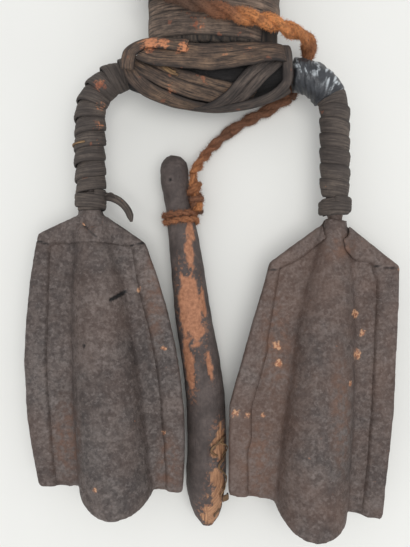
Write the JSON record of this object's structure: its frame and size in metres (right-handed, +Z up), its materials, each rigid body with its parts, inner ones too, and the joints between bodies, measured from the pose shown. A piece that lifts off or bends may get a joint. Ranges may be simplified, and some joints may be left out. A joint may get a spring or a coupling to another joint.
{
  "type": "agogo bell",
  "caption": "Forged iron double bell with flanged bodies on an arched rod, a bark-bound handle lashed to the arch and a wooden striker on a rope.",
  "frame": {"origin": "on the surface that the instrument lies on, in the middle of its footprint", "axes": "+X across the two bells, +Y along the bells towards the handle, +Z up from the surface"},
  "size_m": [0.2054, 0.3686, 0.0526],
  "materials": {
    "bell_iron": "forged sheet, dark and rust-spotted",
    "rod_iron": "forged bar, dark",
    "arm_bark": "dry dark bark strip, worn",
    "tape": "wrinkled black tape with dull shine",
    "handle_wood": "rough",
    "handle_bark": "dry flat bark band",
    "inner_bark": "dark, dusty",
    "lash_bark": "dry bark strip with clay dust",
    "rope_fibre": "twisted fibre, dusty orange to brown",
    "striker_wood": "dark bark, peeled in places"
  },
  "bodies": {
    "frame": {"left_bell_front_sheet": "bell_iron", "left_bell_back_sheet": "bell_iron", "right_bell_front_sheet": "bell_iron", "right_bell_back_sheet": "bell_iron", "arch_rod": "rod_iron", "left_arm_wrap": "arm_bark", "right_arm_wrap": "arm_bark", "left_end_collar": "arm_bark", "right_end_collar": "arm_bark", "strap_tail": "arm_bark", "tape_sleeve": "tape", "handle_core": "handle_wood", "handle_binding": "handle_bark", "lash_core": "inner_bark", "left_lash_strip_1": "lash_bark", "left_lash_strip_2": "lash_bark", "left_lash_strip_3": "lash_bark", "right_lash_strip_1": "lash_bark", "right_lash_strip_2": "lash_bark", "right_lash_strip_3": "lash_bark", "upper_lash_strip": "lash_bark", "rim_lash_strip": "lash_bark", "side_lash_strip": "lash_bark", "back_lash_strip": "lash_bark", "rope_turn": "rope_fibre", "rope_run": "rope_fibre"},
    "rope": {"rope_lead": "rope_fibre"},
    "striker": {"striker": "striker_wood", "striker_tie": "rope_fibre", "rope_knot": "rope_fibre"}
  },
  "joints": [
    {"name": "rope_swing", "type": "hinge", "parent": "frame", "child": "rope", "pos_m": [0.01039, 0.03974, 0.0036], "axis": [-0.7879, 0.6158, 0], "range_deg": [0, 75]},
    {"name": "striker_swing", "type": "hinge", "parent": "rope", "child": "striker", "pos_m": [-0.01071, 0.01274, 0.018], "axis": [-0.996, -0.0897, 0], "range_deg": [0, 80]}
  ]
}
